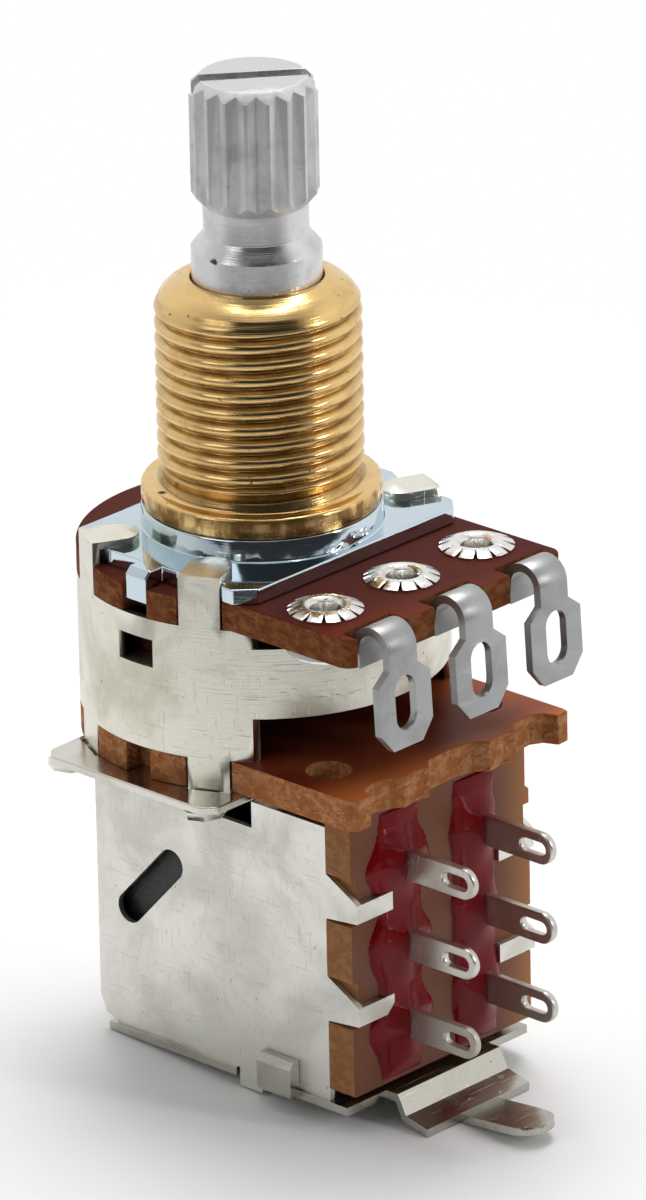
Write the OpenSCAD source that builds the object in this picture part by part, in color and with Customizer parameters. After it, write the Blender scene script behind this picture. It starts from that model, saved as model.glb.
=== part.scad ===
// Rotary potentiometer with a push-pull switch below it, in millimetres.
// The origin is on the shaft axis, on the seating face of the bushing's flange. Terminals point to -Y.

/* [Shaft] */
// Length of the shaft beyond the bushing, pushed in
shaft_out = 9.55; // [8.7:0.05:14]
// Diameter over the knurl
knurl_d = 5.86; // [5.5:0.02:5.96]
// Length of the knurled end
knurl_len = 5.45; // [4.5:0.05:6]
// Depth of the knurl's grooves
knurl_deep = 0.28; // [0.15:0.01:0.4]
// Number of knurl teeth
knurl_teeth = 18; // [12:1:24]
// Bevel at the shaft's end, across the radius
tip_bevel = 0.46; // [0.2:0.02:0.8]
// Diameter of the neck below the knurl
neck_d = 4.84; // [4.3:0.02:5.2]
// Length of the neck
neck_len = 1.4; // [0.8:0.1:1.6]
// Diameter of the collar that runs in the bushing
collar_d = 6.0; // [5.8:0.02:6.3]
// Width of the screwdriver slot
slot_w = 0.85; // [0.7:0.05:1.3]
// Depth of the screwdriver slot
slot_deep = 0.8; // [0.6:0.05:1.6]
// Direction of the screwdriver slot
slot_turn = -40; // [-90:1:90]
// Diameter of the shaft's lower rod
rod_d = 4.0; // [3.6:0.1:4.4]
// Distance across the flats of the rod
rod_flats = 3.2; // [2.8:0.05:3.4]
// Diameter of the end that the slider hangs on
tail_d = 3.0; // [2.4:0.1:3.1]

/* [Bushing] */
// Height of the bushing above its seating face
bushing_len = 9.9; // [8:0.05:10.2]
// Outer diameter of the thread
thread_d = 9.525; // [9:0.005:10]
// Length of the plain relief between flange and thread
relief_len = 1.28; // [0.6:0.02:1.6]
// Diameter of the relief
relief_d = 8.7; // [8.2:0.05:8.9]
// Diameter of the flange
flange_d = 11.11; // [10.6:0.01:12]
// Thickness of the flange
flange_t = 1.02; // [0.8:0.01:1.3]
// Diameter of the riveted spigot below the flange
spigot_d = 7.8; // [7.2:0.1:8]

/* [Front plate] */
// Width of the front plate
plate_w = 14.8; // [14.4:0.1:14.9]
// Reach of the front plate toward the terminals
plate_front = 5.9; // [5.2:0.05:6.4]
// Reach of the front plate away from the terminals
plate_back = 5.65; // [5.2:0.05:6]
// Thickness of the front plate
plate_t = 0.75; // [0.6:0.05:0.95]
// Diameter of the raised boss
boss_d = 11.14; // [10.8:0.02:12]
// Height of the raised boss
boss_h = 1.03; // [0.9:0.01:1.2]
// Width of the side ears
ear_w = 1.3; // [1:0.05:1.5]
// Corner cut at the terminals' side
plate_cut = 0.85; // [0.5:0.05:1.2]

/* [Boards] */
// Radius of the boards' round part, and of the shell
shell_r = 8.6; // [8.55:0.01:8.9]
// Width of the boards' straight part
board_w = 14.5; // [14.2:0.05:14.9]
// Reach of the upper board toward the terminals
board_front = 12.15; // [11.9:0.05:12.4]
// Reach of the lower board toward the terminals
base_front = 12.3; // [12.1:0.05:12.5]
// Thickness of the upper board
board_t = 1.4; // [1.2:0.05:1.6]
// Thickness of the lower board
base_t = 1.5; // [1.2:0.05:1.8]
// Distance between the terminals
pitch = 5.08; // [5:0.01:5.15]
// Distance of the eyelets from the shaft axis
eyelet_y = 8.65; // [8.6:0.05:8.9]
// Width of the notches in the board's front edge
notch_w = 3.2; // [2.6:0.1:3.6]
// Depth of the notches in the board's front edge
notch_deep = 1.05; // [0.9:0.05:1.2]

/* [Terminals] */
// Thickness of the terminals
term_t = 0.4; // [0.3:0.02:0.5]
// Width of the terminal's hook
term_w = 1.84; // [1.5:0.02:2.2]
// Width of the terminal's ring
ring_w = 3.4; // [3:0.05:3.6]
// Outer radius of the hook's bend
hook_r = 1.1; // [0.9:0.02:1.25]
// Height of the hook above the upper board
hook_rise = 0.35; // [0.2:0.01:0.6]
// Length of the terminal below the bend
ring_len = 4.55; // [4.3:0.05:4.8]
// Lean of the terminal's ring
ring_lean = 3.5; // [0:0.5:5]
// Diameter of the eyelets' holes
eyelet_hole = 1.46; // [1:0.02:1.6]
// Wall of the eyelets
eyelet_wall = 0.22; // [0.15:0.01:0.3]
// Diameter of the eyelets' crimped lip
eyelet_lip = 3.5; // [3:0.05:3.6]

/* [Shell] */
// Height of the shell's wall between the boards
shell_h = 6.4; // [6.2:0.05:7]
// Thickness of the shell's sheet
shell_t = 0.35; // [0.25:0.01:0.4]
// Width of the shell's tabs
tab_w = 2.0; // [1.6:0.1:2.2]
// Reach of the upper tabs over the front plate
tab_in = 2.6; // [2:0.1:3]
// Distance of the lower tabs' ends from the support plate's edge
tab_inset = 0.1; // [0:0.05:0.6]
// Width of the side window
window_w = 2.1; // [1.5:0.1:2.6]

/* [Rotor] */
// Room between the rotor's disc and the shell
rotor_room = 1.05; // [0.8:0.05:1.6]
// Thickness of the rotor's disc
rotor_t = 1.6; // [1.2:0.1:2]
// Diameter of the rotor's upper journal
journal_d = 6.6; // [6:0.1:6.8]
// Diameter of the rotor's lower journal
low_journal_d = 5.8; // [5.4:0.1:6.2]

/* [Switch] */
// Travel of the shaft and the slider
travel = 3.5; // [3:0.1:3.6]
// Reach of the support plate beyond the shell, at each side
support_edge = 1.0; // [0.8:0.05:1.4]
// Thickness of the support plate
support_t = 0.4; // [0.3:0.02:0.5]
// Width of the switch case
case_w = 12.0; // [11.8:0.05:12.2]
// Height of the switch case
case_h = 14.1; // [13.8:0.05:14.6]
// Reach of the case away from the terminals
case_back = 5.36; // [5.2:0.02:5.5]
// Distance from the shaft axis to the terminal board
case_front = 9.2; // [9:0.05:9.4]
// Thickness of the case's sheet
case_t = 0.3; // [0.2:0.01:0.35]
// Thickness of the terminal board
tb_t = 1.6; // [1.2:0.05:1.8]
// Distance of the switch lugs from the middle
lug_x = 2.65; // [2.4:0.05:2.9]
// Distance between the rows of lugs
lug_pitch = 3.95; // [3.8:0.01:4]
// Height of a lug's blade
lug_h = 1.52; // [1.2:0.02:1.7]
// Thickness of a lug's blade
lug_t = 0.4; // [0.3:0.02:0.5]
// Length of the lugs in front of the terminal board
lug_len = 4.6; // [4:0.1:5]
// Height of the slider
slider_h = 8.0; // [7.6:0.1:8.4]
// Diameter of the detent ball
ball_d = 1.4; // [1:0.1:1.5]

/* [Bottom cover] */
// Thickness of the bottom cover
cover_t = 0.4; // [0.3:0.02:0.5]
// Width of the front lip
lip_w = 7.0; // [6:0.1:8]
// Width of the ground tongue
tongue_w = 2.5; // [2:0.1:3]
// Length of the ground tongue
tongue_len = 4.4; // [4:0.1:5.5]
// Upward lean of the ground tongue
tongue_lean = 5; // [0:0.5:10]
// Drop of the front lip below the cover
lip_drop = 0.95; // [0.7:0.05:1.2]

/* [Hidden] */
$fn = 48;
// A small overlap that makes cuts pass through
eps = 0.02;
// Running fits, across the radius
bore_gap = 0.05;
key_gap = 0.06;
journal_gap = 0.08;
tail_gap = 0.06;
// Free space between sliding pieces
side_gap = 0.4;
touch_gap = 0.12;
end_gap = 0.06;
// Play round tabs and ears in their recesses
slot_play = 0.1;

// Heights of the layers, from the seating face down
z_boss = -flange_t;
z_plate = z_boss - boss_h;
z_board_top = z_plate - plate_t;
z_board_bot = z_board_top - board_t;
z_base_top = z_board_bot - shell_h;
z_base_bot = z_base_top - base_t;
z_case_top = z_base_bot - support_t;
z_case_bot = z_case_top - case_h;
z_cover_bot = z_case_bot - cover_t;

// Shaft stations, from the end down
shaft_reach = bushing_len + shaft_out;
knurl_turn = 6.3;
z_knurl = shaft_reach - knurl_len;
knurl_bevel = 0.6;
z_neck = z_knurl - knurl_bevel;
z_step = z_neck - neck_len;
collar_bevel = 0.7;
z_collar = z_step - collar_bevel;
z_collar_end = z_boss - 0.6;

// Bushing
bore_r = collar_d / 2 + bore_gap;
rivet_t = 0.35;
rivet_out = 0.5;

// Tabs of the shell, as angles from the sideways axis
top_tabs = [28, -23.3];
low_tabs = [28, -25.2];
recess_r = shell_r - shell_t - slot_play;
support_w = 2 * (shell_r + support_edge);
low_reach = support_w / 2 / cos(low_tabs[1]) - tab_inset;

// Eyelets and terminals
barrel_r = eyelet_hole / 2 + eyelet_wall;
term_pad_r = 1.85;
limb_y = board_front - notch_deep + 0.05;
hook_y = limb_y + hook_r;
hook_z = z_board_top + hook_rise - hook_r;

// Printed layers under the upper board
print_t = 0.1;
ring_in = journal_d / 2 + 0.45;
ring_out = ring_in + 0.6;
track_in = ring_out + 0.35;
track_out = track_in + 1.5;
track_gap_half = 32;

// Rotor and wiper
rotor_d = 2 * (shell_r - shell_t - rotor_room);
rotor_drop = 1.4;
z_rotor = z_board_bot - rotor_drop;
wiper_t = 0.2;
rotor_rise = 0.05;

// Case, slider and terminal board
wall_x = case_w / 2;
case_in = wall_x - case_t;
slider_x = case_in - side_gap;
slider_front = case_front - 0.9;
slider_back = case_back - case_t - side_gap + 0.04;
z_slider = z_case_top - case_t - travel - 0.2;
bridge_t = 2.0;
z_bridge = z_slider - bridge_t;
z_slider_bot = z_slider - slider_h;
clip_t = 0.6;
clip_d = 5.6;
groove_d = 2.2;
pocket_d = clip_d + 1.0;
tail_more = 0.9;
z_tail_end = z_bridge - end_gap - clip_t - tail_more;
tb_y = case_front + tb_t;
z_tb_bot = z_case_bot + 0.6;
lug_top = z_base_bot - 2.47;
pad_t = 0.3;
pad_w = 2.0;
pad_h = 3.0;
pocket_r = ball_d / 2 + 0.06;
ball_out = 0.2;
ball_y = slider_back + ball_out - ball_d / 2;
ball_z = z_slider - slider_h / 2;
spring_len = 2.2;
dimple_deep = 0.3;

tin = [0.78, 0.76, 0.70];
zinc = [0.66, 0.70, 0.76];
brass = [0.80, 0.62, 0.28];
steel = [0.74, 0.74, 0.76];
board_red = [0.42, 0.12, 0.09];
phenolic = [0.66, 0.32, 0.12];
black = [0.06, 0.06, 0.06];
resin = [0.55, 0.04, 0.06];
carbon = [0.12, 0.12, 0.13];
silver = [0.80, 0.80, 0.80];

// A box given by its two corners
module span(a, b) {
  translate(a) cube(b - a);
}

// A disc or tube between two heights
module disc(r, z0, z1) {
  translate([0, 0, z0]) cylinder(r = r, h = z1 - z0);
}

module tube(ro, ri, z0, z1) {
  difference() {
    disc(ro, z0, z1);
    disc(ri, z0 - 1, z1 + 1);
  }
}

// Both sides of the part, left and right
module both() {
  children();
  mirror([1, 0, 0]) children();
}

// A flat outline in the Y and Z directions, given its thickness from x0 to x1
module side_sheet(x0, x1) {
  translate([x0, 0, 0]) rotate([90, 0, 90]) linear_extrude(x1 - x0) children();
}

// A flat outline in the X and Z directions, given its thickness from y0 to y1
module front_sheet(y0, y1) {
  translate([0, y1, 0]) rotate([90, 0, 0]) linear_extrude(y1 - y0) children();
}

// A radial strip that starts on the shaft axis
module ray(a, w, r0, r1, z0, z1) {
  rotate(a) span([r0, -w / 2, z0], [r1, w / 2, z1]);
}

// A part of a tube's wall, as wide as a tab
module wall_tab(a, w, ro, ri, z0, z1) {
  intersection() {
    tube(ro, ri, z0, z1);
    ray(a, w, ri - 1, ro + 1, z0 - 1, z1 + 1);
  }
}

// A strip with its end corners cut, as a folded tab
function tab_outline(w, r0, r1, c0, c1) = [
  [r0, -w / 2 + c0], [r0 + c0, -w / 2], [r1 - c1, -w / 2], [r1, -w / 2 + c1],
  [r1, w / 2 - c1], [r1 - c1, w / 2], [r0 + c0, w / 2], [r0, w / 2 - c0]
];

// The rod's section with its two flats
module rod_section(r, half) {
  intersection() {
    circle(r = r);
    square([2 * half, 4 * r], center = true);
  }
}

// Outline of the knurl: one tooth is flat on top, with a groove on each side
function knurl_point(i, k) =
  let(step = 360 / knurl_teeth, a = knurl_turn + i * step + [0, 0.42, 0.58][k] * step,
      r = knurl_d / 2 - (k == 0 ? knurl_deep : 0))
  [r * cos(a), r * sin(a)];

module knurl() {
  intersection() {
    translate([0, 0, z_neck]) linear_extrude(shaft_reach - z_neck)
      polygon([for (i = [0 : knurl_teeth - 1], k = [0 : 2]) knurl_point(i, k)]);
    rotate_extrude() polygon([
      [0, z_neck], [neck_d / 2, z_neck], [knurl_d / 2, z_knurl],
      [knurl_d / 2, shaft_reach - tip_bevel],
      [knurl_d / 2 - tip_bevel, shaft_reach], [0, shaft_reach]
    ]);
  }
}

module shaft() {
  color(steel) {
    difference() {
      union() {
        knurl();
        rotate_extrude() polygon([
          [0, z_collar_end], [rod_d / 2, z_collar_end], [collar_d / 2, z_collar_end + 0.5],
          [collar_d / 2, z_collar], [neck_d / 2, z_step], [neck_d / 2, z_neck], [0, z_neck]
        ]);
      }
      rotate(slot_turn)
        span([-knurl_d, -slot_w / 2, shaft_reach - slot_deep], [knurl_d, slot_w / 2, shaft_reach + 1]);
    }
    translate([0, 0, z_slider + end_gap]) linear_extrude(z_collar_end - z_slider - end_gap)
      rod_section(rod_d / 2, rod_flats / 2);
    disc(tail_d / 2, z_bridge - end_gap, z_slider + end_gap);
    disc(groove_d / 2, z_bridge - end_gap - clip_t, z_bridge - end_gap);
    translate([0, 0, z_tail_end]) cylinder(r1 = tail_d / 2 - 0.3, r2 = tail_d / 2, h = 0.3);
    disc(tail_d / 2, z_tail_end + 0.3, z_bridge - end_gap - clip_t);
  }
}

module shaft_clip() {
  color(steel) difference() {
    disc(clip_d / 2, z_bridge - end_gap - clip_t, z_bridge - end_gap);
    disc(groove_d / 2, z_bridge - 3, z_bridge + 1);
    span([0, -groove_d * 0.42, z_bridge - 3], [clip_d, groove_d * 0.42, z_bridge + 1]);
    ray(125, 0.9, clip_d * 0.36, clip_d, z_bridge - 3, z_bridge + 1);
    ray(235, 0.9, clip_d * 0.36, clip_d, z_bridge - 3, z_bridge + 1);
  }
}

module bushing() {
  z_spigot = z_boss - plate_t;
  color(brass) rotate_extrude() polygon([
    [bore_r, z_spigot - rivet_t], [spigot_d / 2, z_spigot - rivet_t],
    [spigot_d / 2 + rivet_out, z_spigot - rivet_t / 2], [spigot_d / 2 + rivet_out, z_spigot],
    [spigot_d / 2, z_spigot], [spigot_d / 2, z_boss],
    [flange_d / 2 - 0.1, z_boss], [flange_d / 2, z_boss + 0.1],
    [flange_d / 2, -0.12], [flange_d / 2 - 0.12, 0],
    [relief_d / 2, 0], [relief_d / 2, relief_len - 0.2], [thread_d / 2, relief_len + 0.25],
    [thread_d / 2, bushing_len - 1.5], [thread_d / 2 - 0.1, bushing_len - 1.1],
    [thread_d / 2 - 0.38, bushing_len - 0.7], [bore_r + 0.9, bushing_len - 0.33],
    [bore_r + 0.12, bushing_len],
    [bore_r, bushing_len - 0.12]
  ]);
}

// Recesses in which the shell's upper tabs, or its lower ones, stand
module recesses(angles, w) {
  both() for (a = angles) rotate(a)
    translate([recess_r, -w / 2 - slot_play]) square([shell_r, w + 2 * slot_play]);
}

module plate_outline() {
  half = plate_w / 2;
  polygon([
    [-half, -plate_front + plate_cut], [-half + plate_cut, -plate_front],
    [half - plate_cut, -plate_front], [half, -plate_front + plate_cut],
    [half, plate_back - 1.75], [half - 1.1, plate_back],
    [-half + 1.1, plate_back], [-half, plate_back - 1.75]
  ]);
}

module front_plate() {
  ear_x = shell_r - 0.15;
  color(zinc) difference() {
    union() {
      translate([0, 0, z_board_top]) linear_extrude(plate_t) difference() {
        plate_outline();
        recesses(top_tabs, tab_w);
      }
      disc(boss_d / 2, z_board_top, z_boss);
      both() {
        span([plate_w / 2 - 1, -ear_w / 2, z_board_top], [ear_x - 0.3, ear_w / 2, z_plate]);
        side_ear(ear_x);
      }
    }
    disc(boss_d / 2 - plate_t, z_board_top - 1, z_boss - plate_t);
    disc(spigot_d / 2, z_board_top - 1, z_boss + 1);
  }
}

// An ear of the front plate, bent down into the board's side notch
module side_ear(ear_x) {
  front_sheet(-ear_w / 2, ear_w / 2) polygon([
    [ear_x - plate_t, z_board_top - 0.8], [ear_x, z_board_top - 0.8],
    [ear_x, z_plate - 0.3], [ear_x - 0.3, z_plate],
    [ear_x - plate_t - 0.4, z_plate], [ear_x - plate_t - 0.4, z_board_top],
    [ear_x - plate_t, z_board_top]
  ]);
}

module ear_notch() {
  both() translate([shell_r - 0.15 - plate_t - slot_play, -ear_w / 2 - slot_play])
    square([2, ear_w + 2 * slot_play]);
}

module rivet_holes(r) {
  for (x = [-pitch, 0, pitch]) translate([x, -eyelet_y]) circle(r = r);
}

module element_board() {
  corner = 0.8;
  half = board_w / 2;
  color(board_red) translate([0, 0, z_board_bot]) linear_extrude(board_t) difference() {
    union() {
      circle(r = shell_r);
      translate([-half, -board_front + corner]) square([board_w, board_front - corner]);
      translate([-half + corner, -board_front]) square([board_w - 2 * corner, board_front]);
      for (x = [-1, 1]) translate([x * (half - corner), -board_front + corner]) circle(r = corner);
    }
    circle(r = journal_d / 2 + journal_gap);
    rivet_holes(barrel_r);
    for (x = [-pitch, 0, pitch]) translate([x - notch_w / 2, -board_front - 1])
      square([notch_w, notch_deep + 1]);
    recesses(top_tabs, tab_w);
    ear_notch();
  }
}

// Edge of the lower board where it was snapped from its panel
module snapped_edge(half) {
  f = -base_front;
  k = half / 7.25;
  polygon([
    [-half, f + 0.4], [-6.95 * k, f + 0.1], [-6.05 * k, f + 0.15], [-5.75 * k, f + 0.8],
    [-4.9 * k, f + 1.05], [-4.1 * k, f + 0.85], [-3.5 * k, f + 0.4], [-2.6 * k, f + 0.55],
    [-1.9 * k, f + 0.4], [-1.3 * k, f + 0.95], [0.2 * k, f + 1.05], [1.5 * k, f + 0.9],
    [2.1 * k, f + 0.3], [3.2 * k, f + 0.45], [3.8 * k, f + 0.25], [4.4 * k, f + 0.9],
    [5.6 * k, f + 1.0], [6.15 * k, f + 0.7], [6.45 * k, f], [7.15 * k, f + 0.05],
    [half, f + 0.4], [half, 0], [-half, 0]
  ]);
}

module base_board() {
  color(phenolic) translate([0, 0, z_base_bot]) linear_extrude(base_t) difference() {
    union() {
      circle(r = shell_r);
      snapped_edge(board_w / 2);
    }
    circle(r = low_journal_d / 2 + journal_gap);
    rivet_holes(1.05);
    recesses(low_tabs, tab_w);
    ear_notch();
  }
}

module resistive_track() {
  tail_x = pitch - 1.1;
  color(carbon) translate([0, 0, z_board_bot - print_t]) linear_extrude(print_t) difference() {
    union() {
      difference() {
        circle(r = track_out);
        circle(r = track_in);
        polygon([[0, 0], [-20 * tan(track_gap_half), -20], [20 * tan(track_gap_half), -20]]);
      }
      for (m = [-1, 1]) polygon([
        [m * 2.6, -3.9], [m * 3.9, -3.4], [m * (tail_x + 1.5), -eyelet_y + 0.9],
        [m * (tail_x - 0.2), -eyelet_y + 0.9]
      ]);
    }
    circle(r = track_in);
    rivet_holes(term_pad_r);
  }
}

module collector_ring() {
  color(silver) translate([0, 0, z_board_bot - print_t]) linear_extrude(print_t) difference() {
    union() {
      circle(r = ring_out);
      translate([-0.6, -eyelet_y]) square([1.2, eyelet_y - ring_in]);
    }
    circle(r = ring_in);
    rivet_holes(term_pad_r);
  }
}

// The ring of a terminal, drawn from the end of its hook down
module ring_outline() {
  slot_r = 0.68;
  difference() {
    polygon([
      [-term_w / 2, 0.1], [-term_w / 2, -0.75], [-ring_w / 2, -1.35], [-ring_w / 2, -ring_len + 0.9],
      [-ring_w / 2 + 0.75, -ring_len], [ring_w / 2 - 0.75, -ring_len],
      [ring_w / 2, -ring_len + 0.9], [ring_w / 2, -1.35], [term_w / 2, -0.75], [term_w / 2, 0.1]
    ]);
    slot_path([0, -1.15 - slot_r], [0, -ring_len + 0.8 + slot_r], 2 * slot_r);
  }
}

// A straight slot with round ends
module slot_path(p, q, w) {
  d = q - p;
  n = [-d[1], d[0]] / norm(d) * w / 2;
  translate(p) circle(d = w);
  translate(q) circle(d = w);
  polygon([p + n, q + n, q - n, p - n]);
}

module terminal(x) {
  color(silver) translate([x, 0, 0]) {
    translate([0, 0, z_board_bot - term_t]) linear_extrude(term_t) difference() {
      union() {
        translate([0, -eyelet_y]) circle(r = term_pad_r);
        translate([-term_w / 2, -limb_y - term_t]) square([term_w, limb_y + term_t - eyelet_y]);
      }
      translate([0, -eyelet_y]) circle(r = barrel_r);
    }
    span([-term_w / 2, -limb_y - term_t, z_board_bot - term_t], [term_w / 2, -limb_y, hook_z]);
    side_sheet(-term_w / 2, term_w / 2) difference() {
      translate([-hook_y, hook_z]) circle(r = hook_r);
      translate([-hook_y, hook_z]) circle(r = hook_r - term_t);
      translate([-hook_y - 2 * hook_r, hook_z - 3 * hook_r]) square([4 * hook_r, 3 * hook_r]);
    }
    translate([0, -hook_y - hook_r, hook_z]) rotate([-ring_lean, 0, 0])
      front_sheet(0, term_t) ring_outline();
  }
}

module terminal_left() {
  terminal(-pitch);
}

module terminal_centre() {
  terminal(0);
}

module terminal_right() {
  terminal(pitch);
}

module eyelet(x) {
  hole_r = eyelet_hole / 2;
  z_under = z_board_bot - term_t;
  color(silver) translate([x, -eyelet_y, 0]) difference() {
    rotate_extrude() polygon([
      [hole_r, z_under - 0.25], [barrel_r + 0.55, z_under - 0.25], [barrel_r + 0.55, z_under],
      [barrel_r, z_under], [barrel_r, z_board_top], [eyelet_lip / 2, z_board_top],
      [eyelet_lip / 2, z_board_top + 0.1], [barrel_r + 0.25, z_board_top + 0.32],
      [barrel_r, z_board_top + 0.3], [hole_r, z_board_top + 0.12]
    ]);
    for (i = [0 : 11]) rotate(i * 30 + 10) translate([0, 0, z_board_top - eps])
      linear_extrude(1) polygon([[barrel_r + 0.2, 0], [3, -0.35], [3, 0.35]]);
  }
}

module eyelet_left() {
  eyelet(-pitch);
}

module eyelet_centre() {
  eyelet(0);
}

module eyelet_right() {
  eyelet(pitch);
}

module rotor() {
  stop_out = 0.6;
  color(black) difference() {
    union() {
      disc(rotor_d / 2, z_rotor - rotor_t, z_rotor);
      disc(journal_d / 2, z_rotor, z_board_top + rotor_rise);
      disc(low_journal_d / 2, z_base_bot + rotor_rise, z_rotor - rotor_t);
      disc(low_journal_d / 2 + 0.9, z_base_top + 0.3, z_rotor - rotor_t);
      ray(0, 2, rotor_d / 2 - 1, rotor_d / 2 + stop_out, z_rotor - rotor_t, z_rotor);
    }
    translate([0, 0, z_base_bot - 1]) linear_extrude(z_board_top - z_base_bot + 3)
      rod_section(rod_d / 2 + key_gap, rod_flats / 2 + key_gap);
    for (a = [30 : 60 : 330]) rotate(a) translate([rotor_d / 2 - 1.8, 0, z_rotor - rotor_t - 1])
      cylinder(r = 0.9, h = 1.8);
  }
}

// A sprung finger of the wiper: it rises along X at the distance y from the axis
module finger(y, w) {
  z0 = z_rotor + wiper_t;
  z1 = z_board_bot - print_t - touch_gap;
  translate([0, y + w / 2, 0]) rotate([90, 0, 0]) linear_extrude(w) polygon([
    [1.9, z0 - 0.1], [2.4, z0 - 0.1], [2.4, z0], [-0.9, z1 - 0.15], [-1.2, z1], [-1.5, z1],
    [-2.0, z1 - 0.35], [-2.0, z1 - 0.6], [-1.4, z1 - 0.25], [-1.0, z1 - 0.4]
  ]);
}

module wiper() {
  color(brass) {
    tube(track_out + 0.2, journal_d / 2, z_rotor, z_rotor + wiper_t);
    finger((track_in + track_out) / 2, 1.0);
    finger(-(track_in + track_out) / 2, 1.0);
    finger((ring_in + ring_out) / 2, 0.5);
    finger(-(ring_in + ring_out) / 2, 0.5);
  }
}

module shell() {
  band_y = 5.45;
  band_top = z_board_bot - 0.9;
  band_bot = z_base_top + 2.1;
  window_top = z_board_bot - 1.0;
  window_bot = z_board_bot - 2.7;
  inner = shell_r - shell_t;
  color(tin) difference() {
    union() {
      tube(shell_r, inner, z_base_top, z_board_bot);
      both() for (a = top_tabs) {
        wall_tab(a, tab_w, shell_r, inner, z_board_bot - 0.5, z_plate + shell_t);
        intersection() {
          rotate(a) translate([0, 0, z_plate]) linear_extrude(shell_t) {
            translate([shell_r - tab_in + tab_w / 2, 0]) circle(d = tab_w);
            translate([shell_r - tab_in + tab_w / 2, -tab_w / 2]) square([tab_in + 1, tab_w]);
          }
          disc(shell_r, z_plate - 1, z_plate + 1);
        }
      }
      both() for (a = low_tabs) {
        wall_tab(a, tab_w, shell_r, inner, z_case_top - shell_t, z_base_top + 0.5);
        rotate(a) translate([0, 0, z_case_top - shell_t]) linear_extrude(shell_t)
          polygon(tab_outline(tab_w, inner, low_reach, 0.02, 0.6));
      }
      span([-shell_r + 0.1, -window_w / 2 + 0.1, window_bot], [-inner + 0.95, window_w / 2 - 0.1, window_bot + shell_t]);
    }
    span([-shell_r, -shell_r - 1, band_top], [shell_r, -band_y, z_board_bot + 1]);
    span([-shell_r, -shell_r - 1, z_base_top - 1], [shell_r, -band_y, band_bot]);
    span([-shell_r - 1, -window_w / 2, window_bot + shell_t], [-inner + 1, window_w / 2, window_top]);
  }
}

module support_plate() {
  reach_y = [for (a = low_tabs)
    (shell_r + slot_play) * sin(abs(a)) + (tab_w / 2 + slot_play) * cos(a)];
  front = reach_y[1] + 0.65;
  back = reach_y[0] + 0.15;
  cut = 0.6;
  half = support_w / 2;
  color(tin) difference() {
    translate([0, 0, z_case_top]) linear_extrude(support_t) polygon([
      [-half, -front + cut], [-half + cut, -front], [half - cut, -front], [half, -front + cut],
      [half, back - cut], [half - cut, back], [-half + cut, back], [-half, back - cut]
    ]);
    disc(rod_d / 2 + 0.25, z_case_top - 1, z_base_bot + 1);
    both() for (a = low_tabs)
      ray(a, tab_w + 2 * slot_play, recess_r, shell_r + slot_play, z_case_top - 1, z_base_bot + 1);
  }
}

// Middles of the claws, and how they reach round the terminal board
claw_z = [z_case_top - 4.3, z_case_top - 9.4];
claw_half = 0.5;
claw_in = 3.6;

module claw_side(c) {
  polygon([
    [-case_front + 0.5, c + 1.5], [-case_front, c + 1.5], [-tb_y, c + claw_half + 0.1],
    [-tb_y - case_t, c + claw_half - 0.1], [-tb_y - case_t, c - claw_half],
    [-case_front, c - claw_half - 0.2], [-case_front + 0.5, c - claw_half - 0.2]
  ]);
}

module case_wall() {
  shoulder = z_case_top - 0.5;
  notch = z_case_top - 1.8;
  round_r = 1.2;
  difference() {
    union() {
      polygon([
        [case_back, z_case_top], [-2.6, z_case_top], [-2.6, notch], [-4.6, notch], [-4.6, shoulder],
        [-case_front, shoulder], [-case_front, z_case_bot], [-4.9, z_case_bot],
        [-4.9, z_cover_bot - 0.5], [-3.5, z_cover_bot - 0.5], [-3.5, z_case_bot],
        [case_back - round_r, z_case_bot], [case_back - round_r * 0.29, z_case_bot + round_r * 0.29],
        [case_back, z_case_bot + round_r]
      ]);
      for (c = claw_z) claw_side(c);
    }
    slot_path([0.6, z_case_top - 5.1], [3.3, z_case_top - 8.0], 1.5);
  }
}

// A shallow round dimple that the detent ball drops into
module dimple(z, r, y0, y1) {
  translate([ball_x, y0, z]) rotate([-90, 0, 0]) cylinder(r1 = r, r2 = r - 0.3, h = y1 - y0);
}

ball_x = slider_x - pocket_r - 0.25;

module switch_case() {
  inner_back = case_back - case_t;
  color(tin) difference() {
    union() {
      both() {
        side_sheet(case_in, wall_x) case_wall();
        for (c = claw_z)
          span([claw_in, -tb_y - case_t, c - claw_half], [case_in + 0.05, -tb_y, c + claw_half - 0.1]);
      }
      span([-case_in, inner_back, z_case_bot + 1.2], [case_in, case_back, z_case_top]);
      span([-case_in, -2.6, z_case_top - case_t], [case_in, inner_back, z_case_top]);
      span([-case_in + 1, -5, z_case_top - case_t], [case_in - 1, -2.6, z_case_top]);
      for (k = [0, 1]) dimple(ball_z + k * travel, 0.9, inner_back + 0.1, case_back + dimple_deep);
    }
    disc(rod_d / 2 + 0.25, z_case_top - 1, z_case_top + 1);
    for (k = [0, 1]) dimple(ball_z + k * travel, 0.7, inner_back - eps, case_back + dimple_deep - case_t);
  }
}

// Heights of the three rows of lugs
function lug_z(row) = lug_top - lug_h / 2 - row * lug_pitch;

module lug_blade(play) {
  end_y = -tb_y - lug_len;
  difference() {
    union() {
      translate([end_y + lug_h / 2, -lug_h / 2 - play])
        square([lug_len + tb_t + pad_t / 2 - lug_h / 2, lug_h + 2 * play]);
      translate([end_y + lug_h / 2, 0]) circle(d = lug_h);
    }
    slot_path([end_y + 0.72, 0], [end_y + 1.62, 0], 0.64);
  }
}

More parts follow.
